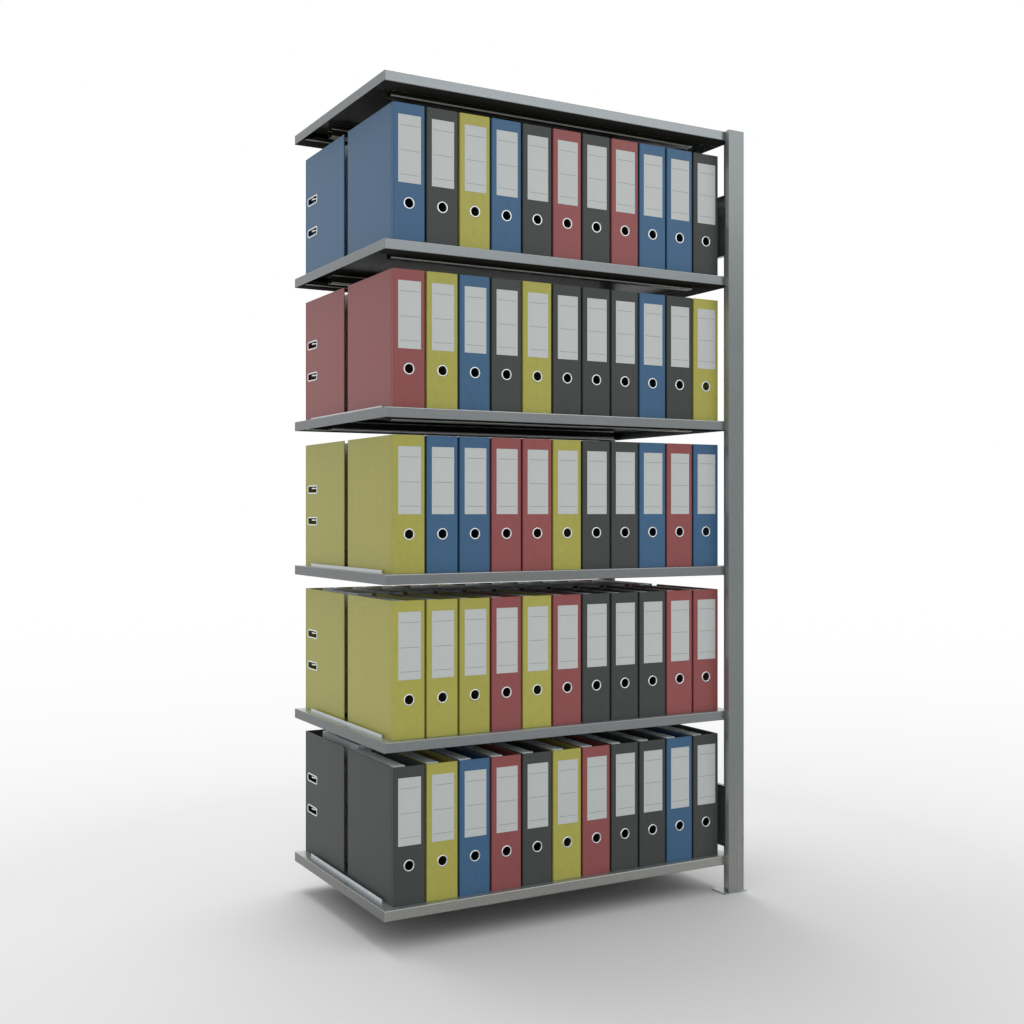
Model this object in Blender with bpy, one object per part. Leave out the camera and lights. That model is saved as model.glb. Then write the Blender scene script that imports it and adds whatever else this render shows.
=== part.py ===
"""Add-on bay of a double-sided archive shelving unit in galvanised steel, loaded with lever-arch files.

Metres, +Z up, +X along the shelves towards the upright frame, +Y to the back. The origin lies on the
floor under the middle of the overall box. The left shelf ends hang on the neighbouring bay's frame.
"""

import math

import bmesh
import bpy

# Gap between pieces that rest on or lean against each other
SEAT_GAP = 0.0003

# Lever-arch files, and how they stand on a shelf: two rows, spines outwards
FILE_WIDTH = 0.080
FILE_HEIGHT = 0.318
FILE_DEPTH = 0.272
FILE_BOARD = 0.0025
FILE_GAP = 0.0054
FILE_HEADROOM = 0.036
FRONT_SPINE_SETBACK = 0.020
REAR_SPINE_SETBACK = 0.0014
ROW_GAP = 0.026
RING_RADIUS = 0.0145
RING_RECESS = 0.0015
FINGER_HOLE_RADIUS = 0.011
FINGER_HOLE_HEIGHT = 0.090
ARCH_SLOT_LENGTH = 0.062
ARCH_SLOT_WIDTH = 0.013
ARCH_SLOT_SETBACK = 0.021
ARCH_SLOT_HEIGHTS = (0.115, 0.198)
PAPER_THICKNESS = 0.036
PAPER_LIFT = 0.004
PAPER_TOP_GAP = 0.002
PAPER_SPINE_GAP = 0.012
PAPER_EDGE_GAP = 0.006
HOLLOW_DEPTH = 0.030
BOW_START = 0.110
BOW_END = 0.200

# T-section posts rolled from sheet, with a column of slots in the stem
FLANGE_WIDTH = 0.050
FLANGE_RETURN = 0.014
POST_DEPTH = 0.050
POST_SHEET = 0.0015
POST_RISE = 0.002
SLOT_PITCH = 0.020
SLOT_HEIGHT = 0.012
SLOT_WIDTH = 0.003
SLOT_SETBACK = 0.036
NOTCH_HEIGHT = 0.010

# Foot plates, each with a tongue that stands inside its post
FOOT_OVERHANG = 0.012
FOOT_DEPTH = 0.056
FOOT_THICKNESS = 0.003
TONGUE_THICKNESS = 0.003
TONGUE_HEIGHT = 0.030
TONGUE_SIDE_GAP = 0.004

# Folded shelves
BAY_PITCH = 1.000
SHELF_COUNT = 6
BOTTOM_SHELF_TOP = 0.098
SHELF_SHEET = 0.001
SHELF_LIP = 0.024
SHELF_RETURN = 0.060
RETURN_END_GAP = 0.006
STOP_SETBACK = 0.022
STOP_LENGTH = 0.460
STOP_HEIGHT = 0.007
STOP_THICKNESS = 0.0015

# Hat-section stiffeners under each shelf
STIFFENER_SETBACK = 0.094
STIFFENER_CROWN = 0.026
STIFFENER_FLANGE = 0.015
STIFFENER_SHEET = 0.001
STIFFENER_END_GAP = 0.058

# Shelf clips and the hooks that clips and tie plates share
CLIP_WIDTH = 0.020
CLIP_SHEET = 0.0012
CLIP_TOE = 0.008
CLIP_TOP_DROP = 0.003
SLOT_DROP = 0.012
HOOK_THICKNESS = 0.0018
HOOK_ARM = 0.005
HOOK_DROP = 0.003
HOOK_TIP = 0.0015

# Tie plates between the two posts, hooked into their stems
TIE_HEIGHT = 0.160
TIE_SHEET = 0.0015
TIE_FOLD = 0.012
TIE_END_GAP = 0.002
TIE_HOOK_SLOTS = 5
LOWER_TIE_SLOT = 3
UPPER_TIE_SLOT = 5

# File colours from left to right, one line for each shelf from the bottom up
FILE_COLOURS = (
    "black yellow blue red black yellow red black black blue black".split(),
    "yellow yellow yellow red yellow red black black black red red".split(),
    "yellow blue blue red red yellow black black blue red blue".split(),
    "red yellow blue black yellow black black black blue black yellow".split(),
    "blue black yellow blue black red black red blue blue black".split(),
)

# Layout worked out from the sizes above
SHELF_DEPTH = FRONT_SPINE_SETBACK + 2 * FILE_DEPTH + ROW_GAP + REAR_SPINE_SETBACK
FRAME_DEPTH = SHELF_DEPTH + 2 * (FLANGE_RETURN + SEAT_GAP)
SHELF_STEP = math.ceil((FILE_HEIGHT + FILE_HEADROOM + SHELF_LIP) / SLOT_PITCH)
SHELF_TOPS = [BOTTOM_SHELF_TOP + index * SHELF_STEP * SLOT_PITCH for index in range(SHELF_COUNT)]
FRAME_HEIGHT = SHELF_TOPS[-1] + POST_RISE
SHELF_END_OFFSET = POST_SHEET + SEAT_GAP + CLIP_SHEET + SEAT_GAP
SHELF_LENGTH = BAY_PITCH - 2 * SHELF_END_OFFSET
FOOT_WIDTH = FLANGE_WIDTH + 2 * FOOT_OVERHANG
STEM_X = (BAY_PITCH - SHELF_END_OFFSET - FOOT_WIDTH / 2) / 2
SHELF_X = STEM_X - BAY_PITCH / 2
FILE_PITCH = FILE_WIDTH + FILE_GAP
FILE_SPACE = SHELF_LENGTH - 2 * (STOP_SETBACK + STOP_THICKNESS)
FILES_PER_ROW = int((FILE_SPACE + FILE_GAP) / FILE_PITCH)
FIRST_FILE_X = SHELF_X - (FILES_PER_ROW * FILE_PITCH - FILE_GAP) / 2
CUT_MARGIN = 0.005


def fold(path, thickness):
    """Outline of a folded sheet that lies to the right of a path of straight runs."""
    normals = []
    for (a, b), (c, d) in zip(path, path[1:]):
        length = math.hypot(c - a, d - b)
        normals.append(((d - b) / length, (a - c) / length))
    inner = []
    for (a, b), before, after in zip(path, normals[:1] + normals, normals + normals[-1:]):
        mitre = thickness / (1 + before[0] * after[0] + before[1] * after[1])
        inner.append((a + mitre * (before[0] + after[0]), b + mitre * (before[1] + after[1])))
    return path + inner[::-1]


def box_outline(a, b, c, d):
    """Rectangle from corner (a, b) to corner (c, d)."""
    return [(a, b), (c, b), (c, d), (a, d)]


def round_outline(a, b, radius, sides):
    """Regular outline of a round hole or disc about (a, b)."""
    turns = [2 * math.pi * (side + 0.5) / sides for side in range(sides)]
    return [(a + radius * math.cos(turn), b + radius * math.sin(turn)) for turn in turns]


def prism(outline, axis, start, end):
    """Closed solid: a flat outline carried along one axis from start to end."""
    depth = "XYZ".index(axis)
    bm = bmesh.new()
    corners = []
    for point in outline:
        place = list(point)
        place.insert(depth, start)
        corners.append(bm.verts.new(place))
    grown = bmesh.ops.extrude_face_region(bm, geom=[bm.faces.new(corners)])["geom"]
    for item in grown:
        if isinstance(item, bmesh.types.BMVert):
            item.co[depth] = end
    bmesh.ops.recalc_face_normals(bm, faces=bm.faces)
    mesh = bpy.data.meshes.new("prism")
    bm.to_mesh(mesh)
    bm.free()
    return mesh


def gathered(meshes):
    """One mesh that holds several solids which stay clear of each other."""
    bm = bmesh.new()
    for mesh in meshes:
        bm.from_mesh(mesh)
    result = bpy.data.meshes.new("gathered")
    bm.to_mesh(result)
    bm.free()
    return result


def boolean(base, tools, operation):
    """The base mesh with a list of tool meshes joined to it or cut from it."""
    pair = [bpy.data.objects.new("base", base), bpy.data.objects.new("tools", gathered(tools))]
    for item in pair:
        bpy.context.collection.objects.link(item)
    modifier = pair[0].modifiers.new("boolean", "BOOLEAN")
    modifier.operation = operation
    modifier.solver = "EXACT"
    modifier.object = pair[1]
    graph = bpy.context.evaluated_depsgraph_get()
    result = bpy.data.meshes.new_from_object(pair[0].evaluated_get(graph))
    for item in pair:
        bpy.data.objects.remove(item)
    return result


def finish(name, colour, roughness, metallic):
    """Plain material of one colour."""
    material = bpy.data.materials.new(name)
    material.use_nodes = True
    shader = material.node_tree.nodes["Principled BSDF"]
    shader.inputs["Base Color"].default_value = (*colour, 1)
    shader.inputs["Roughness"].default_value = roughness
    shader.inputs["Metallic"].default_value = metallic
    return material


def node(name, mesh, materials, location=(0, 0, 0), turn=0.0, parent=None):
    """Named piece in its own place, turned about Z."""
    piece = bpy.data.objects.new(name, mesh.copy())
    piece.data.name = name
    piece.data.materials.clear()
    for material in materials:
        piece.data.materials.append(material)
    piece.location = location
    piece.rotation_euler.z = turn
    piece.parent = parent
    bpy.context.collection.objects.link(piece)
    return piece


def hook(embed, slot_z):
    """Tab that runs from a plate's back face through a stem slot and drops behind the stem."""
    low = slot_z - SLOT_HEIGHT / 2 + SEAT_GAP
    high = low + HOOK_ARM
    reach = SEAT_GAP + 2 * POST_SHEET + SEAT_GAP
    tip = reach + HOOK_TIP
    drop = low - HOOK_DROP
    outline = [(-embed, low), (reach, low), (reach, drop), (tip, drop), (tip, high), (-embed, high)]
    return prism(outline, "Y", -HOOK_THICKNESS / 2, HOOK_THICKNESS / 2)


def post_mesh():
    """T-section post: hollow head, double stem, a column of slots and a notch over the foot."""
    half = FLANGE_WIDTH / 2
    bottom = FOOT_THICKNESS + SEAT_GAP
    section = [
        (-half, 0), (half, 0), (half, FLANGE_RETURN), (POST_SHEET, FLANGE_RETURN), (POST_SHEET, POST_DEPTH),
        (-POST_SHEET, POST_DEPTH), (-POST_SHEET, FLANGE_RETURN), (-half, FLANGE_RETURN),
    ]
    inside = box_outline(POST_SHEET - half, POST_SHEET, half - POST_SHEET, FLANGE_RETURN - POST_SHEET)
    cuts = [prism(inside, "Z", bottom - CUT_MARGIN, FRAME_HEIGHT + CUT_MARGIN)]
    slot_z = SHELF_TOPS[0] - SLOT_DROP
    while slot_z + SLOT_HEIGHT < FRAME_HEIGHT:
        low = SLOT_SETBACK - SLOT_WIDTH / 2
        slot = box_outline(low, slot_z - SLOT_HEIGHT / 2, low + SLOT_WIDTH, slot_z + SLOT_HEIGHT / 2)
        cuts.append(prism(slot, "X", -POST_SHEET - CUT_MARGIN, POST_SHEET + CUT_MARGIN))
        slot_z += SLOT_PITCH
    post = boolean(prism(section, "Z", bottom, FRAME_HEIGHT), cuts, "DIFFERENCE")
    notch = box_outline(POST_SHEET, bottom - CUT_MARGIN, FLANGE_RETURN + SEAT_GAP, bottom + NOTCH_HEIGHT)
    sides = [
        prism(notch, "X", -half - CUT_MARGIN, -POST_SHEET),
        prism(notch, "X", POST_SHEET, half + CUT_MARGIN),
    ]
    return boolean(post, sides, "DIFFERENCE")


def foot_mesh():
    """Flat foot plate with a tongue that stands inside the post's head."""
    plate = prism(box_outline(-FOOT_WIDTH / 2, 0, FOOT_WIDTH / 2, FOOT_DEPTH), "Z", 0, FOOT_THICKNESS)
    side = FLANGE_WIDTH / 2 - POST_SHEET - TONGUE_SIDE_GAP
    front = POST_SHEET + SEAT_GAP
    outline = box_outline(-side, front, side, front + TONGUE_THICKNESS)
    tongue = prism(outline, "Z", FOOT_THICKNESS / 2, FOOT_THICKNESS + TONGUE_HEIGHT)
    return boolean(plate, [tongue], "UNION")


def shelf_mesh():
    """Folded shelf: top, four lips, front and back returns, and an end stop near each end."""
    length = SHELF_LENGTH / 2
    depth = SHELF_DEPTH / 2
    half_sheet = SHELF_SHEET / 2
    path = [
        (SHELF_RETURN - depth, -SHELF_LIP), (-depth, -SHELF_LIP), (-depth, 0),
        (depth, 0), (depth, -SHELF_LIP), (depth - SHELF_RETURN, -SHELF_LIP),
    ]
    body = prism(fold(path, SHELF_SHEET), "X", half_sheet - length, length - half_sheet)
    inside = depth - SHELF_SHEET - SEAT_GAP
    low = -SHELF_LIP - CUT_MARGIN
    corner = box_outline(-inside, low, inside, low + CUT_MARGIN + 2 * SHELF_SHEET)
    ends = [
        prism(corner, "X", -length - CUT_MARGIN, RETURN_END_GAP - length),
        prism(corner, "X", length - RETURN_END_GAP, length + CUT_MARGIN),
    ]
    body = boolean(body, ends, "DIFFERENCE")
    lip = box_outline(half_sheet - depth, -SHELF_LIP, depth - half_sheet, -half_sheet)
    stop = box_outline(-STOP_LENGTH / 2, -half_sheet, STOP_LENGTH / 2, STOP_HEIGHT)
    stop_x = length - STOP_SETBACK
    added = [
        prism(lip, "X", -length, SHELF_SHEET - length),
        prism(lip, "X", length - SHELF_SHEET, length),
        prism(stop, "X", -stop_x - STOP_THICKNESS / 2, -stop_x + STOP_THICKNESS / 2),
        prism(stop, "X", stop_x - STOP_THICKNESS / 2, stop_x + STOP_THICKNESS / 2),
    ]
    return boolean(body, added, "UNION")


def stiffener_mesh():
    """Hat-section stiffener that hangs under a shelf's top, its crown level with the lips."""
    crown = STIFFENER_CROWN / 2 - STIFFENER_SHEET
    edge = crown + STIFFENER_SHEET + STIFFENER_FLANGE
    drop = SHELF_LIP - SHELF_SHEET - SEAT_GAP - STIFFENER_SHEET
    path = [(-edge, 0), (-crown, 0), (-crown, -drop), (crown, -drop), (crown, 0), (edge, 0)]
    half = SHELF_LENGTH / 2 - STIFFENER_END_GAP
    return prism(fold(path, STIFFENER_SHEET), "X", -half, half)


def clip_mesh():
    """J-shaped clip: a hook for the post, and a trough that the shelf's end lip stands in."""
    low = -SHELF_LIP - SEAT_GAP - CLIP_SHEET
    toe = -(CLIP_SHEET + SEAT_GAP + SHELF_SHEET + SEAT_GAP + CLIP_SHEET)
    path = [(0, -CLIP_TOP_DROP), (0, low), (toe, low), (toe, low + CLIP_TOE)]
    body = prism(fold(path, CLIP_SHEET), "Y", -CLIP_WIDTH / 2, CLIP_WIDTH / 2)
    return boolean(body, [hook(CLIP_SHEET / 2, -SLOT_DROP)], "UNION")


def tie_mesh():
    """Channel plate that spans the two posts, with two hooks at each end."""
    hook_span = TIE_HOOK_SLOTS * SLOT_PITCH
    low = (hook_span - TIE_HEIGHT) / 2
    high = low + TIE_HEIGHT
    path = [(-TIE_FOLD, high), (0, high), (0, low), (-TIE_FOLD, low)]
    half = FRAME_DEPTH / 2 - FLANGE_RETURN - TIE_END_GAP
    body = prism(fold(path, TIE_SHEET), "Y", -half, half)
    hooks = []
    for side in (-1, 1):
        for height in (0, hook_span):
            tab = hook(TIE_SHEET / 2, height)
            for vertex in tab.vertices:
                vertex.co.y += side * (FRAME_DEPTH / 2 - SLOT_SETBACK)
            hooks.append(tab)
    return boolean(body, hooks, "UNION")


def file_row_mesh(count):
    """Row of closed files whose filled covers bow out until they touch their neighbours."""
    bow = FILE_GAP / 2
    spines = []
    edges = []
    for index in range(count):
        left = index * FILE_PITCH
        right = left + FILE_WIDTH
        spines += [(left, 0), (right, 0), (right + bow, BOW_START)]
        edges += [(left - bow, BOW_END), (left, FILE_DEPTH), (right, FILE_DEPTH)]
    last = (count - 1) * FILE_PITCH + FILE_WIDTH + bow
    outline = [(-bow, BOW_START)] + spines + [(last, BOW_END)] + edges[::-1]
    row = prism(outline, "Z", 0, FILE_HEIGHT)
    cuts = []
    for index in range(count):
        left = index * FILE_PITCH
        free = left + FILE_BOARD + PAPER_THICKNESS
        right = left + FILE_WIDTH - FILE_BOARD
        hollow = box_outline(free, FILE_BOARD, right, FILE_DEPTH + CUT_MARGIN)
        cuts.append(prism(hollow, "Z", FILE_HEIGHT - HOLLOW_DEPTH, FILE_HEIGHT + CUT_MARGIN))
        ring = round_outline(left + FILE_WIDTH / 2, FINGER_HOLE_HEIGHT, RING_RADIUS, 8)
        cuts.append(prism(ring, "Y", -CUT_MARGIN, RING_RECESS))
    return boolean(row, cuts, "DIFFERENCE")


def cover_mesh():
    """Cover of one file: spine and two boards, with a finger hole and two slots for the arches."""
    inner = FILE_WIDTH - FILE_BOARD
    outline = [
        (0, 0), (FILE_WIDTH, 0), (FILE_WIDTH, FILE_DEPTH), (inner, FILE_DEPTH),
        (inner, FILE_BOARD), (FILE_BOARD, FILE_BOARD), (FILE_BOARD, FILE_DEPTH), (0, FILE_DEPTH),
    ]
    hole = round_outline(FILE_WIDTH / 2, FINGER_HOLE_HEIGHT, FINGER_HOLE_RADIUS, 12)
    cuts = [prism(hole, "Y", -CUT_MARGIN, FILE_BOARD + CUT_MARGIN)]
    for height in ARCH_SLOT_HEIGHTS:
        low = height - ARCH_SLOT_WIDTH / 2
        far = ARCH_SLOT_SETBACK + ARCH_SLOT_LENGTH
        slot = box_outline(ARCH_SLOT_SETBACK, low, far, low + ARCH_SLOT_WIDTH)
        cuts.append(prism(slot, "X", inner - CUT_MARGIN, FILE_WIDTH + CUT_MARGIN))
    return boolean(prism(outline, "Z", 0, FILE_HEIGHT), cuts, "DIFFERENCE")


def paper_mesh():
    """Block of papers against the inside of the back cover."""
    left = FILE_BOARD + SEAT_GAP
    front = FILE_BOARD + PAPER_SPINE_GAP
    outline = box_outline(left, front, left + PAPER_THICKNESS, FILE_DEPTH - PAPER_EDGE_GAP)
    return prism(outline, "Z", PAPER_LIFT, FILE_HEIGHT - PAPER_TOP_GAP)


def colour_row(piece, colours, boards):
    """Gives each file of a row its own colour."""
    for polygon in piece.data.polygons:
        index = int((polygon.center.x + FILE_GAP / 2) / FILE_PITCH)
        colour = colours[min(index, len(colours) - 1) % len(colours)]
        polygon.material_index = list(boards).index(colour)


for old in list(bpy.data.objects):
    bpy.data.objects.remove(old)

steel = finish("galvanised steel", (0.19, 0.20, 0.20), 0.3, 1.0)
sheet = finish("bright zinc sheet", (0.41, 0.43, 0.42), 0.3, 1.0)
paper = finish("paper", (0.74, 0.79, 0.80), 0.9, 0.0)
boards = {
    "blue": finish("blue file board", (0.031, 0.090, 0.182), 0.4, 0.0),
    "black": finish("anthracite file board", (0.034, 0.037, 0.037), 0.4, 0.0),
    "yellow": finish("yellow file board", (0.318, 0.300, 0.060), 0.4, 0.0),
    "red": finish("red file board", (0.222, 0.053, 0.052), 0.4, 0.0),
}

front_y = -FRAME_DEPTH / 2
post = post_mesh()
node("front_post", post, [steel], (STEM_X, front_y, 0))
node("rear_post", post, [steel], (STEM_X, -front_y, 0), math.pi)
foot = foot_mesh()
node("front_foot_plate", foot, [steel], (STEM_X, front_y, 0))
node("rear_foot_plate", foot, [steel], (STEM_X, -front_y, 0), math.pi)

tie = tie_mesh()
plate_x = STEM_X - POST_SHEET - SEAT_GAP
lower_tie_z = SHELF_TOPS[0] - SLOT_DROP + LOWER_TIE_SLOT * SLOT_PITCH
upper_tie_z = SHELF_TOPS[-2] - SLOT_DROP + UPPER_TIE_SLOT * SLOT_PITCH
node("lower_tie_plate", tie, [sheet], (plate_x, 0, lower_tie_z))
node("upper_tie_plate", tie, [sheet], (plate_x, 0, upper_tie_z))

shelf = shelf_mesh()
stiffener = stiffener_mesh()
clip = clip_mesh()
stiffener_y = SHELF_DEPTH / 2 - STIFFENER_SETBACK - STIFFENER_CROWN / 2
clip_y = FRAME_DEPTH / 2 - SLOT_SETBACK
for number, top in enumerate(SHELF_TOPS, 1):
    node(f"shelf_{number}", shelf, [steel], (SHELF_X, 0, top))
    for end, side in (("front", -1), ("rear", 1)):
        under = top - SHELF_SHEET - SEAT_GAP
        node(f"shelf_{number}_{end}_stiffener", stiffener, [sheet], (SHELF_X, side * stiffener_y, under))
        node(f"shelf_{number}_{end}_clip", clip, [sheet], (plate_x, side * clip_y, top))

front_row = file_row_mesh(FILES_PER_ROW - 1)
rear_row = file_row_mesh(FILES_PER_ROW)
cover = cover_mesh()
papers = paper_mesh()
front_spine_y = FRONT_SPINE_SETBACK - SHELF_DEPTH / 2
rear_spine_y = SHELF_DEPTH / 2 - REAR_SPINE_SETBACK
last_file_x = FIRST_FILE_X + FILES_PER_ROW * FILE_PITCH - FILE_GAP
for number, top in enumerate(SHELF_TOPS[:-1], 1):
    stand = top + SEAT_GAP
    colours = FILE_COLOURS[(number - 1) % len(FILE_COLOURS)]
    slide = bpy.data.objects.new(f"shelf_{number}_file_slide", None)
    slide.location = (FIRST_FILE_X, front_spine_y, stand)
    bpy.context.collection.objects.link(slide)
    node(f"shelf_{number}_pull_file_cover", cover, [boards[colours[0]]], parent=slide)
    node(f"shelf_{number}_pull_file_papers", papers, [paper], parent=slide)
    row_place = (FIRST_FILE_X + FILE_PITCH, front_spine_y, stand)
    row = node(f"shelf_{number}_front_files", front_row, boards.values(), row_place)
    colour_row(row, colours[1:], boards)
    row_place = (last_file_x, rear_spine_y, stand)
    row = node(f"shelf_{number}_rear_files", rear_row, boards.values(), row_place, math.pi)
    colour_row(row, colours[::-1], boards)
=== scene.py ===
import math
import random

import bmesh
import bpy
from mathutils import Matrix, Vector


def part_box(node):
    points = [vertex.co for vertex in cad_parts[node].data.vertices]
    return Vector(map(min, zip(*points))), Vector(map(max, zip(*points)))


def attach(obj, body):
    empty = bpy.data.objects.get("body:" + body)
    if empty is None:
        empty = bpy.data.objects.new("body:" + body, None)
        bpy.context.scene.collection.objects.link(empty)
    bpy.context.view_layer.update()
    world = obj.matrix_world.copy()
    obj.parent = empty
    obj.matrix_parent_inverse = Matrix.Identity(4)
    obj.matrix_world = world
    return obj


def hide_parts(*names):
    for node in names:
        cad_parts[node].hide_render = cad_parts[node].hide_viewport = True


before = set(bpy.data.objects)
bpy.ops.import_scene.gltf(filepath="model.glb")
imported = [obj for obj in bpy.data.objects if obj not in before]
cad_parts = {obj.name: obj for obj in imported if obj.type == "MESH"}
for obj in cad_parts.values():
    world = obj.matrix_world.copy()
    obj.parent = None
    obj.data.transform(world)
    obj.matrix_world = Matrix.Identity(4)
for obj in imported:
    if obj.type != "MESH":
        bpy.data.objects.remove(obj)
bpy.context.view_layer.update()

# Foot plates. Flat galvanised plates under the two posts, pressed from 3 mm strip. Each has a tongue
# that stands inside the post's hollow head, so nothing is screwed.

FINISH_OUTPUTS = {"Color": "Color", "Roughness": "Float", "Normal": "Vector"}
SPANGLE_SCALE = 120.0
CLOUD_SCALE = 8.0
STREAK_TONE = 0.16
SPANGLE_TONE = 0.04
CLOUD_TONE = 0.10
ZINC_ROUGHNESS = 0.28
STREAK_ROUGHNESS = 0.08
CLOUD_ROUGHNESS = 0.10
# Pale zinc for rubbed wear, and for painted sheen on shelf rims and posts.
PALE_WEAR_AND_SHEEN_ZINC = (0.65, 0.65, 0.61, 1.0)
RUBBED_SHARE = 0.3
RUBBED_PATCHES = 0.6
SPANGLE_HEIGHT = 0.3
FULL_GLANCE = 1.0
WELD = 0.00001
EDGE_BREAK = 0.0004
EDGE_ANGLE = math.radians(35)
PLATE_ZINC = (0.38, 0.41, 0.41)
PLATE_ROLLED = (180.0, 12.0, 180.0)
PLATE_BARE = 0.6


def shade(tree, kind, inputs=(), **settings):
    """Adds a shader node and fills its sockets with values or with other nodes' outputs."""
    node = tree.nodes.new("ShaderNode" + kind)
    for setting, value in settings.items():
        setattr(node, setting, value)
    for socket, value in dict(inputs).items():
        if isinstance(value, bpy.types.NodeSocket):
            tree.links.new(value, node.inputs[socket])
        else:
            node.inputs[socket].default_value = value
    return node


def noise(tree, place, scale, detail, roughness=0.5):
    """Noise of 0 to 1 over a place."""
    sockets = {"Vector": place, "Scale": scale, "Detail": detail, "Roughness": roughness}
    return shade(tree, "TexNoise", sockets).outputs["Fac"]


def stretched(tree, place, scale):
    """A place scaled along each axis, so that a pattern on it is drawn out."""
    return shade(tree, "Mapping", {"Vector": place, "Scale": scale}).outputs["Vector"]


def swing(tree, value, amount, middle=0.0):
    """Turns a texture value of 0 to 1 into middle plus or minus half the amount."""
    low = middle - amount / 2
    high = middle + amount / 2
    return shade(tree, "MapRange", {"Value": value, "To Min": low, "To Max": high}).outputs["Result"]


def total(tree, *values):
    """Adds several values."""
    result = values[0]
    for value in values[1:]:
        result = shade(tree, "Math", {0: result, 1: value}, operation="ADD").outputs[0]
    return result


def times(tree, value, factor):
    """Multiplies two values."""
    return shade(tree, "Math", {0: value, 1: factor}, operation="MULTIPLY").outputs[0]


def toned(tree, color, tone):
    """Lightens or darkens a colour by a tone around 1."""
    return shade(tree, "HueSaturation", {"Color": color, "Value": tone}).outputs["Color"]


def blend(tree, share, color, other):
    """Mixes a colour with a share of another."""
    return shade(tree, "Mix", {0: share, 6: color, 7: other}, data_type="RGBA").outputs[2]


def relief(tree, height, strength, distance):
    """Surface normal that a height pattern gives."""
    sockets = {"Height": height, "Strength": strength, "Distance": distance}
    return shade(tree, "Bump", sockets).outputs["Normal"]


def start_effect(name, inputs):
    """Starts the node group of a finish and returns it with its input sockets."""
    group = bpy.data.node_groups.new(name, "ShaderNodeTree")
    for socket, kind in inputs.items():
        group.interface.new_socket(name=socket, in_out="INPUT", socket_type="NodeSocket" + kind)
    for socket, kind in FINISH_OUTPUTS.items():
        group.interface.new_socket(name=socket, in_out="OUTPUT", socket_type="NodeSocket" + kind)
    return group, group.nodes.new("NodeGroupInput").outputs


def end_effect(group, color, roughness, normal):
    """Leads a finish to the outputs of its group."""
    end = group.nodes.new("NodeGroupOutput")
    for socket, value in zip(FINISH_OUTPUTS, (color, roughness, normal)):
        group.links.new(value, end.inputs[socket])
    return group


def galvanised_sheet():
    """Zinc-coated sheet: rolling streaks, faint spangle, dull clouds, and pale zinc where the wear mark
    asks, which is real rubbed wear on edges and painted sheen on shelf rims and posts.
    """
    sockets = {"Rolled": "Vector", "Place": "Vector", "Base Color": "Color", "Wear and sheen": "Float"}
    group, start = start_effect("galvanised_sheet", sockets)
    streak = noise(group, start["Rolled"], scale=1.0, detail=6.0, roughness=0.65)
    spangle = shade(group, "TexVoronoi", {"Vector": start["Place"], "Scale": SPANGLE_SCALE})
    grain = shade(group, "SeparateColor", {"Color": spangle.outputs["Color"]}).outputs["Red"]
    cloud = noise(group, start["Place"], CLOUD_SCALE, detail=3.0)
    tone = total(
        group, swing(group, streak, STREAK_TONE, middle=1.0), swing(group, grain, SPANGLE_TONE),
        swing(group, cloud, CLOUD_TONE)
    )
    # Pale zinc is mixed in by the wear mark: real rubbed wear on edges, and painted sheen on shelf rims
    # and posts.
    rubbed = times(group, start["Wear and sheen"], swing(group, streak, RUBBED_PATCHES, RUBBED_SHARE))
    color = blend(group, rubbed, toned(group, start["Base Color"], tone), PALE_WEAR_AND_SHEEN_ZINC)
    streaky = swing(group, streak, STREAK_ROUGHNESS, ZINC_ROUGHNESS)
    rough = total(group, streaky, swing(group, cloud, CLOUD_ROUGHNESS))
    height = total(group, streak, swing(group, grain, SPANGLE_HEIGHT))
    return end_effect(group, color, rough, relief(group, height, strength=0.02, distance=0.0004))


sheet_finish = galvanised_sheet()


def start_material(name):
    """Starts a material and returns it with its node tree and its shader."""
    material = bpy.data.materials.new(name)
    material.use_nodes = True
    tree = material.node_tree
    return material, tree, tree.nodes["Principled BSDF"]


def lay_on(tree, finish, shader):
    """Leads a finish to the shader's own sockets."""
    for output, socket in zip(FINISH_OUTPUTS, ("Base Color", "Roughness", "Normal")):
        tree.links.new(finish.outputs[output], shader.inputs[socket])


def mesh_wear_and_sheen(tree, place):
    """Wear and painted sheen that are marked on the mesh, where a piece has them."""
    return shade(tree, "Attribute", attribute_name="wear_and_sheen").outputs["Fac"]


def steel(name, color, rolled, bare=0.75, gloss=0.5, glance=0.75, wear=mesh_wear_and_sheen):
    """Galvanised steel whose rolling streaks run along the axis with the smallest scale. Bare is how far
    it shines as metal, gloss how it mirrors head-on and glance how it mirrors at a flat angle. Wear gives
    the marks where pale zinc shows: real wear, and painted sheen on posts and shelf rims."""
    material, tree, shader = start_material(name)
    place = shade(tree, "TexCoord").outputs["Object"]
    sockets = {
        "Rolled": stretched(tree, place, rolled), "Place": place,
        "Base Color": (*color, 1.0), "Wear and sheen": wear(tree, place),
    }
    lay_on(tree, shade(tree, "Group", sockets, node_tree=sheet_finish), shader)
    shader.inputs["Metallic"].default_value = bare
    shader.inputs["Specular IOR Level"].default_value = gloss
    shader.inputs["Specular Tint"].default_value = (glance, glance, glance, 1.0)
    return material


def dress(name, material, edge=EDGE_BREAK):
    """Gives a carried-over sheet piece its finish, and breaks its sharp edges."""
    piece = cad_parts[name]
    piece.data.materials.clear()
    piece.data.materials.append(material)
    weld = piece.modifiers.new("weld", "WELD")
    weld.merge_threshold = WELD
    broken = piece.modifiers.new("broken edges", "BEVEL")
    broken.width = edge
    broken.segments = 2
    broken.limit_method = "ANGLE"
    broken.angle_limit = EDGE_ANGLE


plate_steel = steel("foot plate galvanised", PLATE_ZINC, PLATE_ROLLED, PLATE_BARE, glance=FULL_GLANCE)
for name in ("front_foot_plate", "rear_foot_plate"):
    dress(name, plate_steel)

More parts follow.
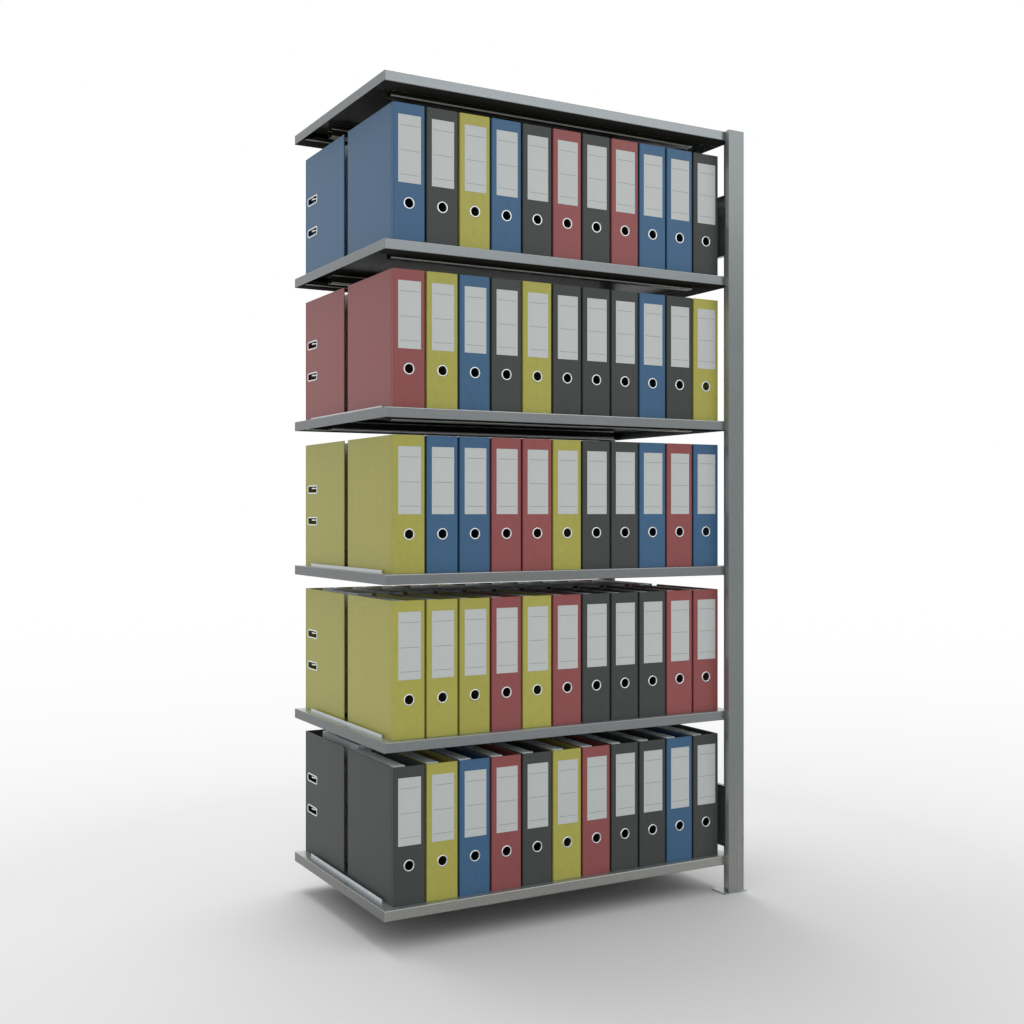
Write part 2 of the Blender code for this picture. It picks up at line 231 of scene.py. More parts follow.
# Posts. T-section posts rolled from galvanised strip, with a hollow head and a double stem. A column of
# slots in the stem takes the hooks of the shelf clips and tie plates.

POST_ZINC = (0.176, 0.186, 0.188)
POST_ROLLED = (200.0, 200.0, 2.5)
POST_BARE = 0.5
# Painted light on the posts: paler towards the floor, and paler on their left and right sides.
SHEEN_BELOW = 0.35
FOOT_SHEEN = 0.6
SIDE_SHEEN = 0.9


def post_painted_sheen(tree, place):
    """Painted reflection that makes the post paler towards the floor, fading out above it, and painted
    sheen that makes its left and right sides paler.
    """
    height = shade(tree, "SeparateXYZ", {"Vector": place}).outputs["Z"]
    sheen_fading = {"Value": height, "From Max": SHEEN_BELOW, "To Min": FOOT_SHEEN, "To Max": 0.0}
    sheen_near_floor = shade(tree, "MapRange", sheen_fading).outputs["Result"]
    facing = shade(tree, "NewGeometry").outputs["True Normal"]
    across = shade(tree, "SeparateXYZ", {"Vector": facing}).outputs["X"]
    side = shade(tree, "Math", {0: across}, operation="ABSOLUTE").outputs[0]
    return total(tree, sheen_near_floor, times(tree, side, SIDE_SHEEN))


post_steel = steel("post galvanised", POST_ZINC, POST_ROLLED, POST_BARE, wear=post_painted_sheen)
for name in ("front_post", "rear_post"):
    dress(name, post_steel)

# Tie plates. Zinc-plated channels that hold the two posts of the frame apart. Two hooks at each end
# drop into the slots of the stems.

TIE_ZINC = (0.30, 0.34, 0.335)
TIE_ROLLED = (40.0, 3.0, 40.0)
TIE_BARE = 0.7

tie_steel = steel("tie plate zinc", TIE_ZINC, TIE_ROLLED, TIE_BARE)
for name in ("lower_tie_plate", "upper_tie_plate"):
    dress(name, tie_steel)

# Shelves. Each is one galvanised sheet with its four sides folded down, and the front and back folded in
# once more underneath, with a small hem turned up. A stop strip is welded on near each end to keep the
# files off the clips.

SHELF_SHEET = 0.001
SHELF_LIP = 0.024
SHELF_RETURN = 0.060
RETURN_END_GAP = 0.006
RETURN_HEM = 0.0115
RETURN_HEM_NOTCH = 0.030
FOLD_RADIUS = 0.0018
HEM_RADIUS = 0.0015
TURN_RADIUS = 0.0022
FOLD_SEGMENTS = 3
FOLD_WEAR = 0.15
RIM_HIGHLIGHT = 0.9
FACING = 0.9
FLAT = 0.99
NO_TILT = 0.01
SHEET, UNDERSIDE, STOP, END, RETURN, TOP, BEND = range(7)
STOP_SETBACK = 0.022
STOP_LENGTH = 0.460
STOP_HEIGHT = 0.007
STOP_THICKNESS = 0.0015
STOP_ROOT = 0.0005
STOP_EDGE = 0.0003
STOP_ENAMEL = (0.62, 0.64, 0.66, 1.0)
STOP_ROUGHNESS = 0.42
STOP_CLOUD = 0.2
ROLLED_ALONG = (2.5, 200.0, 200.0)
ROLLED_DOWN = (900.0, 900.0, 2.5)
SHELF_ZINC = (0.184, 0.196, 0.201)
# Paler copy for the ends of shelves 5 and 6: painted highlight.
PAINTED_HIGHLIGHT_ZINC = (0.205, 0.220, 0.228)
# Darker copy for the sheet of shelf 3 and the ends of shelves 2 and 3: painted shade.
PAINTED_SHADE_ZINC = (0.161, 0.171, 0.174)
# Paler copy for the shelf tops: painted sheen.
TOP_SHEEN_ZINC = (0.40, 0.44, 0.45)
# Warmer, paler copies for the bottom shelf and its ends: painted reflection of the floor.
BOTTOM_REFLECTION_ZINC = (0.315, 0.319, 0.300)
BOTTOM_END_REFLECTION_ZINC = (0.225, 0.230, 0.218)
# Near-black matt copies for the undersides and returns: painted shade.
UNDERSIDE_SHADE = (0.024, 0.024, 0.021)
UNDERSIDE_GLOSS = 0.03
RETURN_SHADE = (0.026, 0.026, 0.023)
# Pale zinc for the bends: painted highlight.
BEND_HIGHLIGHT_ZINC = (0.52, 0.52, 0.48)
BEND_BARE = 0.2


def corners(geometry):
    """The vertices among what an operator returns."""
    return [item for item in geometry if isinstance(item, bmesh.types.BMVert)]


def round_edges(bm, edges, radius, segments=2, wear=1.0):
    """Bevels edges, marks their wear on the new faces and returns them."""
    wear_and_sheen = bm.faces.layers.float.get("wear_and_sheen") or bm.faces.layers.float.new("wear_and_sheen")
    made = bmesh.ops.bevel(
        bm, geom=edges, offset=radius, offset_type="OFFSET", segments=segments, profile=0.5,
        affect="EDGES", clamp_overlap=True, material=-1
    )
    for face in made["faces"]:
        face[wear_and_sheen] = wear
    return made["faces"]


def bar(bm, low, high, radius, finish=0):
    """Rectangular bar from one corner to the other, with broken edges."""
    low = Vector(low)
    high = Vector(high)
    place = Matrix.Translation((low + high) / 2) @ Matrix.Diagonal((*(high - low), 1.0))
    made = bmesh.ops.create_cube(bm, size=1.0, matrix=place)["verts"]
    edges = {edge for vertex in made for edge in vertex.link_edges}
    for face in {face for vertex in made for face in vertex.link_faces}:
        face.material_index = finish
    round_edges(bm, list(edges), radius, 1)


def piece_from(bm, name, materials, body, stands_for=()):
    """Turns a finished mesh into a piece that rides on a body."""
    mesh = bpy.data.meshes.new(name)
    bm.to_mesh(mesh)
    bm.free()
    for material in materials:
        mesh.materials.append(material)
    piece = bpy.data.objects.new(name, mesh)
    bpy.context.collection.objects.link(piece)
    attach(piece, body)
    if stands_for:
        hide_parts(*stands_for)
    return piece


def fold_return(bm, depth, side):
    """Folds the front or back lip in underneath and turns its inner edge up into a hem."""
    face_y = side * depth / 2
    fold = [
        edge for edge in bm.edges if edge.is_boundary
        and all(abs(vertex.co.y - face_y) < WELD for vertex in edge.verts)
    ]
    grown = corners(bmesh.ops.extrude_edge_only(bm, edges=fold)["geom"])
    bmesh.ops.translate(bm, vec=(0.0, -side * SHELF_RETURN, 0.0), verts=grown)
    for vertex in grown:
        vertex.co.x -= math.copysign(RETURN_END_GAP, vertex.co.x)
    turn = [edge for edge in bm.edges if all(vertex in grown for vertex in edge.verts)]
    raised = corners(bmesh.ops.extrude_edge_only(bm, edges=turn)["geom"])
    for vertex in raised:
        vertex.co.x -= math.copysign(RETURN_HEM_NOTCH, vertex.co.x)
        vertex.co.z += RETURN_HEM
    round_edges(bm, fold, HEM_RADIUS, FOLD_SEGMENTS, FOLD_WEAR)
    # The turned-up bends take the pale bend finish, a painted highlight.
    for face in round_edges(bm, turn, TURN_RADIUS, FOLD_SEGMENTS, FOLD_WEAR):
        face.material_index = BEND


def sort_finishes(bm, depth):
    """Gives a shelf's underside and returns their own near-black finish, which is painted shade, its top a
    paler finish, which is painted sheen, and its ends their own finish.
    """
    hem_from = depth / 2 - SHELF_RETURN * 1.5
    hem_to = depth / 2 - SHELF_RETURN / 2
    for face in bm.faces:
        if face.material_index == BEND:
            continue
        centre = face.calc_center_median()
        turned_up = hem_from < abs(centre.y) < hem_to and abs(face.normal.y) > FACING
        facing_down = face.normal.z < -FACING
        if turned_up or (facing_down and centre.z < -SHELF_LIP / 2):
            face.material_index = RETURN
        elif facing_down:
            face.material_index = UNDERSIDE
        elif face.normal.z > FLAT:
            face.material_index = TOP
        elif abs(face.normal.x) > FACING:
            face.material_index = END


def folded_shelf(node):
    """Shelf sheet with rounded folds and its two stop strips, in place."""
    low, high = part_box(node)
    length = high[0] - low[0]
    depth = high[1] - low[1]
    top = high[2] - STOP_HEIGHT
    bm = bmesh.new()
    bmesh.ops.create_grid(bm, x_segments=1, y_segments=1, size=0.5)
    bmesh.ops.scale(bm, vec=(length, depth, 1.0), verts=bm.verts)
    rim = list(bm.edges)
    grown = bmesh.ops.extrude_edge_only(bm, edges=rim)["geom"]
    bmesh.ops.translate(bm, vec=(0.0, 0.0, -SHELF_LIP), verts=corners(grown))
    upright = [
        edge for edge in bm.edges if abs(edge.verts[0].co.z - edge.verts[1].co.z) > SHELF_LIP / 2
    ]
    round_edges(bm, rim + upright, FOLD_RADIUS, FOLD_SEGMENTS, FOLD_WEAR)
    bm.normal_update()
    wear_and_sheen = bm.faces.layers.float["wear_and_sheen"]
    # The tilted faces of the front and back top folds get a high mark: a painted highlight along the top
    # folds.
    for face in bm.faces:
        if face[wear_and_sheen] and abs(face.normal.x) < NO_TILT and abs(face.normal.z) > NO_TILT:
            face[wear_and_sheen] = RIM_HIGHLIGHT
    for side in (-1, 1):
        fold_return(bm, depth, side)
    bmesh.ops.recalc_face_normals(bm, faces=bm.faces)
    bmesh.ops.solidify(bm, geom=list(bm.faces), thickness=SHELF_SHEET)
    bm.normal_update()
    sort_finishes(bm, depth)
    for side in (-1, 1):
        stop_x = side * (length / 2 - STOP_SETBACK)
        bar(
            bm, (stop_x - STOP_THICKNESS / 2, -STOP_LENGTH / 2, -STOP_ROOT),
            (stop_x + STOP_THICKNESS / 2, STOP_LENGTH / 2, STOP_HEIGHT), STOP_EDGE, STOP
        )
    centre = ((low[0] + high[0]) / 2, (low[1] + high[1]) / 2, top)
    bmesh.ops.translate(bm, vec=centre, verts=bm.verts)
    return bm


def stop_enamel():
    """Pale enamel of the stop strips, a little cloudy."""
    material, tree, shader = start_material("stop strip enamel")
    cloud = noise(tree, shade(tree, "TexCoord").outputs["Object"], scale=40.0, detail=3.0)
    color = toned(tree, STOP_ENAMEL, swing(tree, cloud, STOP_CLOUD, middle=1.0))
    tree.links.new(color, shader.inputs["Base Color"])
    tree.links.new(swing(tree, cloud, STOP_CLOUD, STOP_ROUGHNESS), shader.inputs["Roughness"])
    return material


shelf_steel = steel("shelf galvanised", SHELF_ZINC, ROLLED_ALONG, glance=FULL_GLANCE)
# Painted light: the darker copies are painted shade, the paler end copies of the top shelves painted
# highlight, and the bottom shelf's copies a painted reflection of the floor.
shaded_steel = steel("shelf galvanised with painted shade", PAINTED_SHADE_ZINC, ROLLED_ALONG, glance=FULL_GLANCE)
bottom_reflection_steel = steel("bottom shelf galvanised with painted floor reflection", BOTTOM_REFLECTION_ZINC, ROLLED_ALONG, glance=FULL_GLANCE)
highlit_end_steel = steel("shelf end galvanised with painted highlight", PAINTED_HIGHLIGHT_ZINC, ROLLED_DOWN)
shelf_end_steel = steel("shelf end galvanised", SHELF_ZINC, ROLLED_DOWN)
shaded_end_steel = steel("shelf end galvanised with painted shade", PAINTED_SHADE_ZINC, ROLLED_DOWN)
bottom_reflection_end_steel = steel("bottom shelf end galvanised with painted floor reflection", BOTTOM_END_REFLECTION_ZINC, ROLLED_DOWN)
sheet_steels = [bottom_reflection_steel, shelf_steel, shaded_steel, shelf_steel, shelf_steel, shelf_steel]
end_steels = [
    bottom_reflection_end_steel, shaded_end_steel, shaded_end_steel, shelf_end_steel, highlit_end_steel, highlit_end_steel
]
# The underside and return finishes are painted shade.
underside_shade_steel = steel(
    "shelf underside painted shade", UNDERSIDE_SHADE, ROLLED_ALONG, bare=0.0, gloss=UNDERSIDE_GLOSS
)
return_shade_steel = steel("shelf return painted shade", RETURN_SHADE, ROLLED_ALONG, bare=0.0, gloss=0.0)
# Paler top finish: painted sheen.
top_sheen_steel = steel("shelf top galvanised with painted sheen", TOP_SHEEN_ZINC, ROLLED_ALONG, glance=FULL_GLANCE)
bend_highlight_steel = steel("shelf bend zinc with painted highlight", BEND_HIGHLIGHT_ZINC, ROLLED_ALONG, BEND_BARE)
stop_finish = stop_enamel()
shelf_nodes = [f"shelf_{number}" for number in range(1, 7)]
for node, sheet_steel, end_steel in zip(shelf_nodes, sheet_steels, end_steels):
    finishes = [sheet_steel, underside_shade_steel, stop_finish, end_steel, return_shade_steel, top_sheen_steel, bend_highlight_steel]
    piece_from(folded_shelf(node), node + "_sheet", finishes, "shelving", [node])

# Stiffeners. Two zinc-plated hat sections under each shelf, spot-welded to the underside of its top. Their
# rounded bends catch the light, and their pale colour paints a highlight on them; their flat faces are
# painted near black as shade.

STIFFENER_SHEET = 0.001
STIFFENER_FLANGE = 0.015
STIFFENER_BEND = 0.003
STIFFENER_BEND_SEGMENTS = 4
STIFFENER_ROLLED = (3.0, 160.0, 160.0)


def hat_section(node):
    """Stiffener with rounded bends, in place."""
    low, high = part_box(node)
    middle = (low[1] + high[1]) / 2
    crown = (high[1] - low[1]) / 2 - STIFFENER_FLANGE
    flange = high[2] - STIFFENER_SHEET
    outline = [
        (low[1], flange), (middle - crown, flange), (middle - crown, low[2]),
        (middle + crown, low[2]), (middle + crown, flange), (high[1], flange),
    ]
    bm = bmesh.new()
    points = [bm.verts.new((low[0], y, z)) for y, z in outline]
    for pair in zip(points, points[1:]):
        bm.edges.new(pair)
    bmesh.ops.bevel(
        bm, geom=points[1:5], offset=STIFFENER_BEND, offset_type="OFFSET",
        segments=STIFFENER_BEND_SEGMENTS, profile=0.5, affect="VERTICES", clamp_overlap=True, material=-1
    )
    grown = bmesh.ops.extrude_edge_only(bm, edges=list(bm.edges))["geom"]
    bmesh.ops.translate(bm, vec=(high[0] - low[0], 0.0, 0.0), verts=corners(grown))
    bm.normal_update()
    lowest = min(bm.faces, key=lambda face: face.calc_center_median().z)
    if lowest.normal.z > 0.0:
        bmesh.ops.reverse_faces(bm, faces=bm.faces)
    bmesh.ops.solidify(bm, geom=list(bm.faces), thickness=STIFFENER_SHEET)
    bm.normal_update()
    # Flat faces take the near-black underside finish, painted shade; the bends take the pale finish,
    # painted highlight.
    for face in bm.faces:
        flat = max(abs(part) for part in face.normal) > FLAT
        face.material_index = UNDERSIDE if flat else SHEET
    return bm


stiffener_highlight_steel = steel("stiffener zinc with painted highlight", BEND_HIGHLIGHT_ZINC, STIFFENER_ROLLED, BEND_BARE)
for node in shelf_nodes:
    for side in ("front", "rear"):
        stiffener = f"{node}_{side}_stiffener"
        piece_from(
            hat_section(stiffener), stiffener + "_hat", [stiffener_highlight_steel, underside_shade_steel], "shelving",
            [stiffener]
        )

# Clips. Bent zinc-plated strips, one at each post for each shelf. A hook drops into a slot of the stem,
# and the shelf's end lip stands in the trough.

CLIP_ZINC = (0.40, 0.41, 0.40)
CLIP_ROLLED = (120.0, 120.0, 20.0)
CLIP_EDGE = 0.0003

clip_steel = steel("clip zinc", CLIP_ZINC, CLIP_ROLLED)
for node in shelf_nodes:
    for side in ("front", "rear"):
        dress(f"{node}_{side}_clip", clip_steel, CLIP_EDGE)

# File covers. Grey board wrapped in linen-grained foil and creased into a spine and two covers. The
# spine has a finger hole, and the front cover two slots that the arches lock into when it is closed.

FILE_WIDTH = 0.080
FILE_HEIGHT = 0.318
FILE_DEPTH = 0.272
FILE_BOARD = 0.0025
FILE_GAP = 0.0054
SPINE_RADIUS = 0.0025
HINGE_AT = 0.010
HINGE_WIDTH = 0.005
HINGE_DEPTH = 0.0007
BOARD_EDGE = 0.0006
BOARD_EDGE_ANGLE = math.radians(50)
FINGER_HOLE_RADIUS = 0.011
FINGER_HOLE_HEIGHT = 0.090
FINGER_HOLE_SIDES = 16
ARCH_SLOT_LENGTH = 0.065
ARCH_SLOT_WIDTH = 0.017
ARCH_SLOT_SETBACK = 0.0195
ARCH_SLOT_CORNER = 0.0055
ARCH_SLOT_HEIGHTS = (0.117, 0.200)
CORNER_SEGMENTS = 3
WARP_THREADS = (900.0, 60.0, 7.0)
WEFT_THREADS = (60.0, 900.0, 7.0)
MOTTLING = (70.0, 45.0, 9.0)
THREAD_TONE = 0.16
MOTTLE_TONE = 0.24
FILE_TONE = 0.08
FOIL_ROUGHNESS = 0.38
MOTTLE_ROUGHNESS = 0.12
THREAD_ROUGHNESS = 0.06
RUBBED_BOARD = (0.50, 0.50, 0.48, 1.0)
RUBBED_BOARD_SHARE = 0.16
FOIL_GLOSS = 0.25
MATT_FOIL_GLOSS = 0.12
BLUE_FOIL = (0.042, 0.109, 0.204)
ANTHRACITE_FOIL = (0.056, 0.061, 0.059)
YELLOW_FOIL = (0.358, 0.339, 0.072)
RED_FOIL = (0.254, 0.070, 0.070)
TONE_SEED = 5


def rounded_plate(bm, width, height, corner, matrix):
    """Flat face with rounded corners, in the XY plane of the matrix."""
    made = bmesh.ops.create_grid(bm, x_segments=1, y_segments=1, size=0.5)["verts"]
    bmesh.ops.scale(bm, vec=(width, height, 1.0), verts=made)
    rounded = bmesh.ops.bevel(
        bm, geom=made, offset=corner, offset_type="OFFSET", segments=CORNER_SEGMENTS, profile=0.5,
        affect="VERTICES", clamp_overlap=True, material=-1
    )["verts"]
    bmesh.ops.transform(bm, matrix=matrix, verts=rounded)
    return rounded[0].link_faces[0]


def cut_panel(bm, panel, openings):
    """Fills a panel again round the outlines of its openings."""
    outline = list(panel.edges)
    for opening in openings:
        outline += opening.edges
    bmesh.ops.delete(bm, geom=[panel, *openings], context="FACES_ONLY")
    bmesh.ops.triangle_fill(bm, use_beauty=True, use_dissolve=False, edges=outline)


def face_near(bm, point):
    """The face whose middle lies nearest to a point."""
    return min(bm.faces, key=lambda face: (face.calc_center_median() - Vector(point)).length)


def slot_plane(height):
    """Frame in the middle of a slot on the outside of the front cover, X along the depth and Y up."""
    middle = (FILE_WIDTH, ARCH_SLOT_SETBACK + ARCH_SLOT_LENGTH / 2, height)
    return Matrix.Translation(middle) @ Matrix(
        ((0, 0, 1, 0), (1, 0, 0, 0), (0, 1, 0, 0), (0, 0, 0, 1))
    )


def file_cover():
    """One file's spine and covers, with hinges, finger hole and slots."""
    near = HINGE_AT - HINGE_WIDTH / 2
    far = HINGE_AT + HINGE_WIDTH / 2
    outline = [
        (0, FILE_DEPTH), (0, far), (HINGE_DEPTH, HINGE_AT), (0, near), (0, 0),
        (FILE_WIDTH, 0), (FILE_WIDTH, near), (FILE_WIDTH - HINGE_DEPTH, HINGE_AT), (FILE_WIDTH, far),
        (FILE_WIDTH, FILE_DEPTH),
    ]
    bm = bmesh.new()
    points = [bm.verts.new((x, y, 0.0)) for x, y in outline]
    for pair in zip(points, points[1:]):
        bm.edges.new(pair)
    bmesh.ops.bevel(
        bm, geom=[points[4], points[5]], offset=SPINE_RADIUS, offset_type="OFFSET",
        segments=CORNER_SEGMENTS, profile=0.5, affect="VERTICES", clamp_overlap=True, material=-1
    )
    grown = bmesh.ops.extrude_edge_only(bm, edges=list(bm.edges))["geom"]
    bmesh.ops.translate(bm, vec=(0.0, 0.0, FILE_HEIGHT), verts=corners(grown))
    spine = face_near(bm, (FILE_WIDTH / 2, 0.0, FILE_HEIGHT / 2))
    front = face_near(bm, (FILE_WIDTH, FILE_DEPTH / 2, FILE_HEIGHT / 2))
    hole_middle = Matrix.Translation((FILE_WIDTH / 2, 0.0, FINGER_HOLE_HEIGHT))
    ring = bmesh.ops.create_circle(
        bm, cap_ends=True, segments=FINGER_HOLE_SIDES, radius=FINGER_HOLE_RADIUS,
        matrix=hole_middle @ Matrix.Rotation(math.pi / 2, 4, "X")
    )["verts"]
    cut_panel(bm, spine, [ring[0].link_faces[0]])
    slots = [
        rounded_plate(bm, ARCH_SLOT_LENGTH, ARCH_SLOT_WIDTH, ARCH_SLOT_CORNER, slot_plane(height))
        for height in ARCH_SLOT_HEIGHTS
    ]
    cut_panel(bm, front, slots)
    bmesh.ops.recalc_face_normals(bm, faces=bm.faces)
    bmesh.ops.solidify(bm, geom=list(bm.faces), thickness=FILE_BOARD)
    bmesh.ops.recalc_face_normals(bm, faces=bm.faces)
    sharp = [edge for edge in bm.edges if edge.calc_face_angle(0.0) > BOARD_EDGE_ANGLE]
    round_edges(bm, sharp, BOARD_EDGE)
    return bm


def template(bm, name):
    """Keeps a piece of one file as a mesh that knows its place on the file."""
    place = bm.verts.layers.float_vector.new("file_place")
    for vertex in bm.verts:
        vertex[place] = vertex.co
    mesh = bpy.data.meshes.new(name)
    bm.to_mesh(mesh)
    bm.free()
    return mesh


def linen_board():
    """Foil-covered board: embossed linen threads, soft mottling and edges rubbed pale."""
    sockets = {"Place": "Vector", "Base Color": "Color", "Wear and sheen": "Float", "Tone": "Float"}
    group, start = start_effect("linen_board", sockets)
    axes = shade(group, "SeparateXYZ", {"Vector": start["Place"]}).outputs
    along = total(group, axes["X"], axes["Y"])
    flat = shade(group, "CombineXYZ", {"X": along, "Y": axes["Z"], "Z": start["Tone"]}).outputs["Vector"]
    warp = noise(group, stretched(group, flat, WARP_THREADS), scale=1.0, detail=2.0)
    weft = noise(group, stretched(group, flat, WEFT_THREADS), scale=1.0, detail=2.0)
    mottle = noise(group, stretched(group, flat, MOTTLING), scale=1.0, detail=5.0, roughness=0.65)
    thread = total(group, warp, weft)
    tone = total(
        group, swing(group, mottle, MOTTLE_TONE, middle=1.0), swing(group, warp, THREAD_TONE),
        swing(group, weft, THREAD_TONE), swing(group, start["Tone"], FILE_TONE)
    )
    rubbed = times(group, times(group, start["Wear and sheen"], mottle), RUBBED_BOARD_SHARE)
    color = blend(group, rubbed, toned(group, start["Base Color"], tone), RUBBED_BOARD)
    mottled = swing(group, mottle, MOTTLE_ROUGHNESS, FOIL_ROUGHNESS)
    rough = total(group, mottled, swing(group, thread, THREAD_ROUGHNESS))
    return end_effect(group, color, rough, relief(group, thread, strength=0.25, distance=0.0002))


board_finish = linen_board()


def board(name, color, gloss=FOIL_GLOSS):
    """File board in one colour of foil."""
    material, tree, shader = start_material(name)
    sockets = {
        "Place": shade(tree, "Attribute", attribute_name="file_place").outputs["Vector"],
        "Base Color": (*color, 1.0),
        "Wear and sheen": shade(tree, "Attribute", attribute_name="wear_and_sheen").outputs["Fac"],
        "Tone": shade(tree, "Attribute", attribute_name="file_tone").outputs["Fac"],
    }
    lay_on(tree, shade(tree, "Group", sockets, node_tree=board_finish), shader)
    shader.inputs["Specular IOR Level"].default_value = gloss
    return material


boards = {
    "blue": board("blue file board", BLUE_FOIL),
    "black": board("anthracite file board", ANTHRACITE_FOIL, MATT_FOIL_GLOSS),
    "yellow": board("yellow file board", YELLOW_FOIL),
    "red": board("red file board", RED_FOIL),
}
board_order = list(boards)
shelf_colours = [
    "black yellow blue red black yellow red black black blue black".split(),
    "yellow yellow yellow red yellow red black black black red red".split(),
    "yellow blue blue red red yellow black black blue red blue".split(),
    "red yellow blue black yellow black black black blue black yellow".split(),
    "blue black yellow blue black red black red blue blue black".split(),
]


def stand_files(part, places, coloured=False):
    """Puts a part of the file at each place, and keeps each file's own tone."""
    bm = bmesh.new()
    for place, colour, tone in places:
        old_vertices = len(bm.verts)
        old_faces = len(bm.faces)
        bm.from_mesh(part)
        bm.verts.ensure_lookup_table()
        bmesh.ops.transform(bm, matrix=place, verts=bm.verts[old_vertices:])
        own_tone = bm.faces.layers.float.get("file_tone") or bm.faces.layers.float.new("file_tone")
        bm.faces.ensure_lookup_table()
        for face in bm.faces[old_faces:]:
            face[own_tone] = tone
            if coloured:
                face.material_index = board_order.index(colour)
    return bm


dice = random.Random(TONE_SEED)
file_pitch = FILE_WIDTH + FILE_GAP
file_rows = []
for number, colours in enumerate(shelf_colours, 1):
    left, front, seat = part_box(f"shelf_{number}_pull_file_cover")[0]
    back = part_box(f"shelf_{number}_rear_files")[1][1]
    pulled_file, front_files, rear_files = [], [], []
    for index, colour in enumerate(colours):
        file_left = left + index * file_pitch
        facing_front = Matrix.Translation((file_left, front, seat))
        group = front_files if index else pulled_file
        group.append((facing_front, colour, dice.random()))
        facing_back = Matrix.Translation((file_left + FILE_WIDTH, back, seat))
        rear_files.append((facing_back @ Matrix.Rotation(math.pi, 4, "Z"), colour, dice.random()))
    file_rows.append((f"shelf_{number}_pull", f"shelf_{number}_file", pulled_file))
    file_rows.append((f"shelf_{number}_front", "shelving", front_files))
    file_rows.append((f"shelf_{number}_rear", "shelving", rear_files))

cover = template(file_cover(), "file cover")
for row, body, files in file_rows:
    node = row + ("_file_cover" if body != "shelving" else "_files")
    covers = stand_files(cover, files, True)
    piece_from(covers, row + "_covers", boards.values(), body, [node])

# Papers. A punched stack held by the arches against the back cover. It fills a little less than half of
# each file, and its edges show the single sheets.

PAPER_THICKNESS = 0.036
PAPER_LIFT = 0.004
PAPER_TOP_GAP = 0.0004
PAPER_SPINE_GAP = 0.017
PAPER_EDGE_GAP = 0.006
SEAT_GAP = 0.0003
PAPER_PACKS = 7
PACK_SEED = 11
PACK_BACK = 0.0012
PACK_DOWN = 0.0008
PACK_FOUND = 0.0001
PAPER_WHITE = (0.79, 0.86, 0.87, 1.0)
SHEET_LINES = (2200.0, 9.0, 9.0)
PACK_LINES = (260.0, 3.0, 3.0)
SHEET_TONE = 0.24
PACK_TONE = 0.18
PAPER_ROUGHNESS = 0.85


def paper_stack():
    """Stack of papers whose packs stand out a little more or less."""
    bm = bmesh.new()
    low = Vector((FILE_BOARD + SEAT_GAP, FILE_BOARD + PAPER_SPINE_GAP, PAPER_LIFT))
    high = Vector((low.x + PAPER_THICKNESS, FILE_DEPTH - PAPER_EDGE_GAP, FILE_HEIGHT - PAPER_TOP_GAP))
    place = Matrix.Translation((low + high) / 2) @ Matrix.Diagonal((*(high - low), 1.0))
    bmesh.ops.create_cube(bm, size=1.0, matrix=place)
    levels = [low.x + PAPER_THICKNESS * pack / PAPER_PACKS for pack in range(PAPER_PACKS + 1)]
    for level in levels[1:-1]:
        geometry = bm.verts[:] + bm.edges[:] + bm.faces[:]
        bmesh.ops.bisect_plane(bm, geom=geometry, plane_co=(level, 0.0, 0.0), plane_no=(1.0, 0.0, 0.0))
    jog = random.Random(PACK_SEED)
    for level in levels:
        back = jog.uniform(-PACK_BACK, 0.0)
        down = jog.uniform(-PACK_DOWN, 0.0)
        for vertex in bm.verts:
            if abs(vertex.co.x - level) < PACK_FOUND:
                vertex.co.z += down if vertex.co.z > FILE_HEIGHT / 2 else 0.0
                vertex.co.y += back if vertex.co.y > FILE_DEPTH / 2 else 0.0
    return bm


def paper_edges():
    """White paper with sheet lines across the stack."""
    material, tree, shader = start_material("paper edges")
    place = shade(tree, "Attribute", attribute_name="file_place").outputs["Vector"]
    sheet = noise(tree, stretched(tree, place, SHEET_LINES), scale=1.0, detail=3.0)
    pack = noise(tree, stretched(tree, place, PACK_LINES), scale=1.0, detail=2.0)
    tone = total(tree, swing(tree, sheet, SHEET_TONE, middle=1.0), swing(tree, pack, PACK_TONE))
    tree.links.new(toned(tree, PAPER_WHITE, tone), shader.inputs["Base Color"])
    tree.links.new(relief(tree, sheet, strength=0.4, distance=0.0002), shader.inputs["Normal"])
    shader.inputs["Roughness"].default_value = PAPER_ROUGHNESS
    return material


papers = template(paper_stack(), "file papers")
paper = paper_edges()
for row, body, files in file_rows:
    node = [row + "_file_papers"] if body != "shelving" else []
    piece_from(stand_files(papers, files), row + "_papers", [paper], body, node)

# Spine labels. Pale paper labels, printed with three thin ruled lines and no writing. Each is stuck to the
# upper part of its spine and stands a little proud of the foil.

LABEL_LOW = (0.0126, 0.136)
LABEL_HIGH = (0.0702, 0.292)
LABEL_PROUD = 0.0004
LABEL_SUNK = 0.0002
LABEL_EDGE = 0.0001
LABEL_PAPER = (0.470, 0.490, 0.485, 1.0)
LABEL_INK = (0.19, 0.20, 0.20, 1.0)
FIBRE_TONE = 0.10
STAIN_TONE = 0.08
LABEL_ROUGHNESS = 0.6
RULED_HEIGHTS = (0.1545, 0.2100, 0.2675)
RULED_FROM = 0.0170
RULED_TO = 0.0668
RULED_HALF = 0.00055


def spine_label():
    """Label with slightly eased edges."""
    bm = bmesh.new()
    low = (LABEL_LOW[0], -LABEL_PROUD, LABEL_LOW[1])
    high = (LABEL_HIGH[0], LABEL_SUNK, LABEL_HIGH[1])
    bar(bm, low, high, LABEL_EDGE)
    return bm


def within(tree, value, middle, reach):
    """1 where a value lies within reach of the middle, and 0 elsewhere."""
    return shade(tree, "Math", {0: value, 1: middle, 2: reach}, operation="COMPARE").outputs[0]


